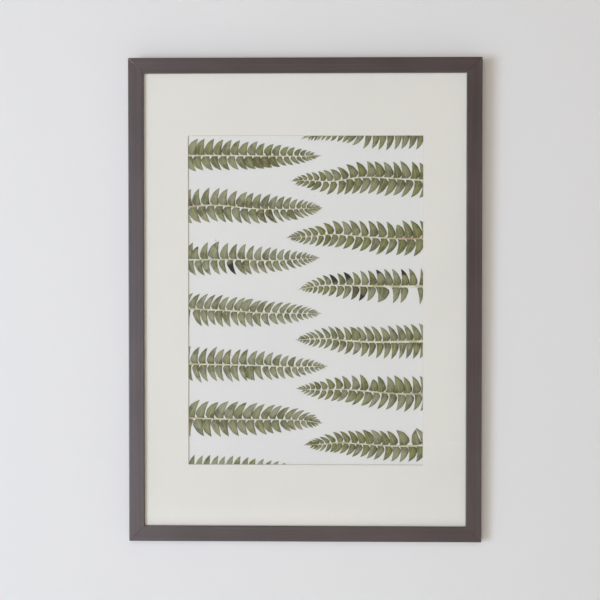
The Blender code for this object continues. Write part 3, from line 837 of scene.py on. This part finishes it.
def pinnaStations(frond, chance):
    # one entry per pinna, with everything the tree needs to place it
    path = rachisPath(frond["rachis"], growth["pathSteps"])
    rowsOfPinnae = {name: rowStations(frond, name, path, chance) for name in ("upper", "lower")}
    for rowName, x, changes in frond.get("odd", ()):
        nearest = min(rowsOfPinnae[rowName], key=lambda s: abs(s["place"][0] - x))
        changeStation(nearest, changes)
    spear = growth["spear"]
    place, forward = alongPath(path, spear["length"])
    end = {
        "place": place, "forward": np.array([forward[1], -forward[0]]), "outSign": 1,
        "reach": spear["length"] + spear["past"], "width": spear["width"], "angle": 0.0,
        "kind": pinnaKinds.index("spear"), "roll": 0.0, "tone": 0.4, "age": 0.0,
        "tipDark": 0.0, "footDark": 0.0,
    }
    stations = [*rowsOfPinnae["upper"], *rowsOfPinnae["lower"], end]
    return [s for s in stations if s["reach"] > growth["shortest"] and not s.get("gone")]


def stationMesh(name, stations):
    mesh = bpy.data.meshes.new(name)
    mesh.from_pydata([(*(s["place"] * mm), 0.0) for s in stations], [], [])
    columns = {key: [] for key in ("turn", "roll", "crosswise", "lengthwise", "tone", "age",
                                   "tipDark", "footDark")}
    picks = []
    for s in stations:
        hand = s["outSign"]
        heading = math.atan2(s["forward"][1], s["forward"][0])
        if hand < 0:
            heading += math.pi
        cosine = math.cos(s["angle"])
        columns["turn"].append(heading - hand * s["angle"])
        columns["roll"].append(s["roll"])
        columns["crosswise"].append(s["width"] * cosine ** growth["leanNarrowing"] * mm)
        columns["lengthwise"].append(s["reach"] / cosine * mm)
        for key in ("tone", "age", "tipDark", "footDark"):
            columns[key].append(s[key])
        turnedOver = -1 if s.get("flip") else 1
        picks.append(s["kind"] * 2 + (0 if hand * turnedOver > 0 else 1))
    for key, values in columns.items():
        mesh.attributes.new(key, "FLOAT", "POINT").data.foreach_set("value", values)
    mesh.attributes.new("pick", "INT", "POINT").data.foreach_set("value", picks)
    return mesh


def rachisTube(name, frond):
    # a tapered stalk that lies on the paper, thinner towards the tip
    sides = growth["rachisSides"]
    path = rachisPath(frond["rachis"], growth["rachisSteps"])
    count = len(path)
    thinnest, thickest = growth["rachisTip"], growth["rachisRoot"]
    shape = bmesh.new()
    uvLayer = shape.loops.layers.uv.new("blade")
    rings = []
    for i, point in enumerate(path):
        ahead = path[max(i - 1, 0)] - path[min(i + 1, count - 1)]
        ahead = ahead / np.linalg.norm(ahead)
        outward = np.array([-ahead[1], ahead[0]])
        share = i / (count - 1)
        radius = thinnest + (thickest - thinnest) * share ** growth["rachisTaper"]
        radius *= 0.35 if i == 0 else 1.0
        ring = []
        for k in range(sides):
            a = 2 * math.pi * k / sides
            across = outward * (radius * frond.get("stalk", 1.0) * math.cos(a))
            height = growth["rachisHeight"] * (1 + min(radius, 0.9) * math.sin(a))
            ring.append(shape.verts.new((*((point + across) * mm), height * mm)))
        rings.append(ring)
    for i in range(count - 1):
        for k in range(sides):
            face = shape.faces.new((rings[i][k], rings[i][(k + 1) % sides],
                                    rings[i + 1][(k + 1) % sides], rings[i + 1][k]))
            corners = ((i, k), (i, k + 1), (i + 1, k + 1), (i + 1, k))
            for loop, (a, b) in zip(face.loops, corners):
                loop[uvLayer].uv = (b / sides, a / (count - 1))
    shape.faces.new(rings[0])
    shape.faces.new(rings[-1][::-1])
    faceOutwards(shape)
    mesh = bpy.data.meshes.new(name)
    shape.to_mesh(mesh)
    shape.free()
    mesh.shade_smooth()
    red = frond.get("blush", 2 * growth["rootX"])
    fade = growth["blushLength"]
    blush = [float(np.clip((abs(v.co.x) / mm - red) / fade + 0.3, 0, 1)) for v in mesh.vertices]
    mesh.attributes.new("blush", "FLOAT", "POINT").data.foreach_set("value", blush)
    return mesh


def frondTree(stalkMaterial, bladeMaterial):
    # stalk comes in as geometry, the pinnae are set on the points of another object
    tree = bpy.data.node_groups.new("frondGrowth", "GeometryNodeTree")
    sockets = (("Geometry", "Geometry"), ("Stations", "Object"), ("Pinnae", "Collection"),
               ("Front Plane", "Float"))
    for socketName, kind in sockets:
        tree.interface.new_socket(socketName, in_out="INPUT", socket_type="NodeSocket" + kind)
    tree.interface.new_socket("Geometry", in_out="OUTPUT", socket_type="NodeSocketGeometry")
    inputs = addNode(tree, "NodeGroupInput").outputs
    stations = addNode(tree, "GeometryNodeObjectInfo", links={"Object": inputs["Stations"]})
    library = addNode(tree, "GeometryNodeCollectionInfo",
                      {"Separate Children": True, "Reset Children": True},
                      {"Collection": inputs["Pinnae"]})
    read = {}
    for key in ("turn", "roll", "crosswise", "lengthwise"):
        read[key] = addNode(tree, "GeometryNodeInputNamedAttribute", {"Name": key},
                            data_type="FLOAT").outputs["Attribute"]
    pick = addNode(tree, "GeometryNodeInputNamedAttribute", {"Name": "pick"}, data_type="INT")
    turn = addNode(tree, "ShaderNodeCombineXYZ", {"X": 0.0}, {"Y": read["roll"], "Z": read["turn"]})
    size = addNode(tree, "ShaderNodeCombineXYZ", {"Z": 1.0},
                   {"X": read["crosswise"], "Y": read["lengthwise"]})
    onPoints = addNode(tree, "GeometryNodeInstanceOnPoints", {"Pick Instance": True},
                       {"Points": stations.outputs["Geometry"],
                        "Instance": library.outputs["Instances"],
                        "Instance Index": pick.outputs["Attribute"],
                        "Rotation": turn.outputs[0], "Scale": size.outputs[0]})
    real = addNode(tree, "GeometryNodeRealizeInstances",
                   links={"Geometry": onPoints.outputs["Instances"]})
    blades = addNode(tree, "GeometryNodeSetMaterial", {"Material": bladeMaterial},
                     {"Geometry": real.outputs[0]})
    stalk = addNode(tree, "GeometryNodeSetMaterial", {"Material": stalkMaterial},
                    {"Geometry": inputs["Geometry"]})
    both = addNode(tree, "GeometryNodeJoinGeometry", links={0: stalk.outputs[0]})
    tree.links.new(blades.outputs[0], both.inputs[0])
    place = addNode(tree, "ShaderNodeCombineXYZ", links={"Y": inputs["Front Plane"]})
    stood = addNode(tree, "GeometryNodeTransform", {"Rotation": (math.pi / 2, 0.0, 0.0)},
                    {"Geometry": both.outputs[0], "Translation": place.outputs[0]})
    addNode(tree, "NodeGroupOutput", links={"Geometry": stood.outputs[0]})
    return tree


def growFrond(name, frond, tree, library, seed):
    chance = np.random.default_rng(seed)
    stations = pinnaStations(frond, chance)
    points = bpy.data.objects.new(name + "_stations", stationMesh(name + "_stations", stations))
    bpy.context.scene.collection.objects.link(points)
    stalk = bpy.data.objects.new(name + "_growing", rachisTube(name + "_stalk", frond))
    bpy.context.scene.collection.objects.link(stalk)
    grow = stalk.modifiers.new("growth", "NODES")
    grow.node_group = tree
    values = {"Stations": points, "Pinnae": library, "Front Plane": paperFront}
    for item in tree.interface.items_tree:
        if item.item_type == "SOCKET" and item.in_out == "INPUT" and item.name in values:
            grow[item.identifier] = values[item.name]
    graph = bpy.context.evaluated_depsgraph_get()
    mesh = bpy.data.meshes.new_from_object(stalk.evaluated_get(graph))
    mesh.name = name + "_grown"
    piece = bpy.data.objects.new(name + "_grown", mesh)
    bpy.context.scene.collection.objects.link(piece)
    bpy.data.objects.remove(stalk)
    bpy.data.objects.remove(points)
    tint = mesh.attributes.new("tint", "FLOAT", "POINT")
    tint.data.foreach_set("value", [frond["grey"]] * len(mesh.vertices))
    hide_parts(name)
    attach(piece, "root")
    return piece


bladeColours = {
    "olive": "#77783F",
    "oliveDark": "#46482B",
    "sage": "#9C9B82",
    "sageGrey": "#A5A496",
    "midrib": "#B9B690",
    "brown": "#54472F",
    "black": "#2C2A26",
}
stalkColours = {"straw": "#DEDAC6", "olive": "#BDB98F", "reddish": "#B08C78"}


def readAttribute(tree, name):
    return addNode(tree, "ShaderNodeAttribute", attribute_name=name).outputs["Fac"]


def driedBlade():  # dried fern lamina: matte, papery, greyed green with paler veins
    material, tree = newMaterial("driedFernBlade")
    uv = addNode(tree, "ShaderNodeUVMap", uv_map="blade")
    parts = addNode(tree, "ShaderNodeSeparateXYZ", links={"Vector": uv.outputs["UV"]})
    across = mathNode(tree, "ABSOLUTE", mathNode(tree, "SUBTRACT", parts.outputs["X"], 0.5))
    tone = readAttribute(tree, "tone")
    age = readAttribute(tree, "age")
    tint = readAttribute(tree, "tint")
    tipDark = readAttribute(tree, "tipDark")
    footDark = readAttribute(tree, "footDark")
    place = mapped(tree)
    mottle = addNode(tree, "ShaderNodeTexNoise", {"Scale": 260.0, "Detail": 5.0, "Roughness": 0.65},
                     {"Vector": place})
    cloudy = addNode(tree, "ShaderNodeTexNoise", {"Scale": 70.0, "Detail": 3.0}, {"Vector": place})
    slant = mathNode(tree, "SUBTRACT", mathNode(tree, "MULTIPLY", parts.outputs["Y"], 14.0),
                     mathNode(tree, "MULTIPLY", across, 6.0))
    stripe = mathNode(tree, "SINE", mathNode(tree, "MULTIPLY", slant, 2 * math.pi))
    veins = ramp(tree, stripe, 0.35, 1.0)
    rib = ramp(tree, across, 0.02, 0.09, 1.0, 0.0)
    olive, oliveDark, sage, sageGrey, midrib, brown, black = map(linear, bladeColours.values())
    green = mixColour(tree, tint, olive, sage)
    green = mixColour(tree, ramp(tree, tone, 0.2, 0.9, 0.0, 0.5), green, sageGrey)
    green = mixColour(tree, ramp(tree, parts.outputs["Y"], 0.5, 0.0, 0.0, 0.6), green, oliveDark)
    green = mixColour(tree, ramp(tree, cloudy.outputs["Fac"], 0.45, 0.62, 0.0, 0.6), green,
                      oliveDark)
    rim = mathNode(tree, "MAXIMUM", ramp(tree, across, 0.36, 0.5, 0.0, 0.4),
                   ramp(tree, parts.outputs["Y"], 0.8, 1.0, 0.0, 0.6))
    green = mixColour(tree, rim, green, oliveDark)
    green = mixColour(tree, mathNode(tree, "MULTIPLY", veins, 0.22), green, midrib)
    green = mixColour(tree, mathNode(tree, "MULTIPLY", rib, 0.35), green, midrib)
    green = mixColour(tree, ramp(tree, mottle.outputs["Fac"], 0.55, 0.8, 0.0, 0.45), green, brown)
    # dead tissue: from the tip, from the foot, over the whole blade, and in spots
    reached = mathNode(tree, "ADD", parts.outputs["Y"], mathNode(tree, "MULTIPLY", tipDark, 0.5))
    reached = mathNode(tree, "ADD", reached, mathNode(tree, "MULTIPLY", cloudy.outputs["Fac"], 0.2))
    atTip = ramp(tree, reached, 1.04, 1.2)
    atTip = mathNode(tree, "MULTIPLY", atTip, ramp(tree, tipDark, 0.0, 0.25))
    spots = mathNode(tree, "MULTIPLY", ramp(tree, mottle.outputs["Fac"], 0.46, 0.58),
                     ramp(tree, age, 0.02, 0.2, 0.0, 0.75))
    green = mixColour(tree, spots, green, brown)
    atFoot = mathNode(tree, "MULTIPLY", footDark, ramp(tree, parts.outputs["Y"], 0.3, 0.05))
    dark = mathNode(tree, "MAXIMUM", mathNode(tree, "MAXIMUM", atTip, atFoot), age)
    dead = mixColour(tree, ramp(tree, dark, 0.65, 0.95), brown, black)
    green = mixColour(tree, mathNode(tree, "MULTIPLY", dark, 0.95), green, dead)
    footStalk = ramp(tree, parts.outputs["Y"], 0.05, 0.02)  # pale, where it joins the rachis
    green = mixColour(tree, footStalk, green, linear(stalkColours["straw"]))
    height = mathNode(tree, "ADD", mathNode(tree, "MULTIPLY", veins, 0.4),
                      mathNode(tree, "ADD", rib, mottle.outputs["Fac"]))
    bump = addNode(tree, "ShaderNodeBump", {"Strength": 0.5, "Distance": 0.00015},
                   {"Height": height})
    shader = addNode(tree, "ShaderNodeBsdfPrincipled",
                     {"Roughness": 0.72, "Specular IOR Level": 0.3},
                     {"Base Color": green, "Normal": bump.outputs["Normal"]})
    finishMaterial(tree, shader)
    return material


def driedStalk():  # dried rachis: pale straw, grooved along its length
    material, tree = newMaterial("driedFernStalk")
    place = mapped(tree)
    patch = addNode(tree, "ShaderNodeTexNoise", {"Scale": 60.0, "Detail": 4.0}, {"Vector": place})
    uv = addNode(tree, "ShaderNodeUVMap", uv_map="blade")
    parts = addNode(tree, "ShaderNodeSeparateXYZ", links={"Vector": uv.outputs["UV"]})
    groove = mathNode(tree, "SINE", mathNode(tree, "MULTIPLY", parts.outputs["X"], 8 * math.pi))
    colour = mixColour(tree, ramp(tree, patch.outputs["Fac"], 0.4, 0.65),
                       linear(stalkColours["straw"]), linear(stalkColours["olive"]))
    blush = readAttribute(tree, "blush")
    colour = mixColour(tree, mathNode(tree, "MULTIPLY", blush, 0.7), colour,
                       linear(stalkColours["reddish"]))
    bump = addNode(tree, "ShaderNodeBump", {"Strength": 0.4, "Distance": 0.0002},
                   {"Height": groove})
    shader = addNode(tree, "ShaderNodeBsdfPrincipled", {"Roughness": 0.6},
                     {"Base Color": colour, "Normal": bump.outputs["Normal"]})
    finishMaterial(tree, shader)
    return material


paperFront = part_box("mounting_paper")[0][1] - growth["paperClearance"] * mm
growthTree = frondTree(driedStalk(), driedBlade())
pinnaLibrary = makePinnaLibrary()
for index, (frondName, frondSpec) in enumerate(fronds.items()):
    growFrond(frondName, frondSpec, growthTree, pinnaLibrary, growth["seed"] + index)
for obj in list(pinnaLibrary.objects):
    bpy.data.objects.remove(obj)
bpy.data.collections.remove(pinnaLibrary)
print("fronds grown:", len(fronds))
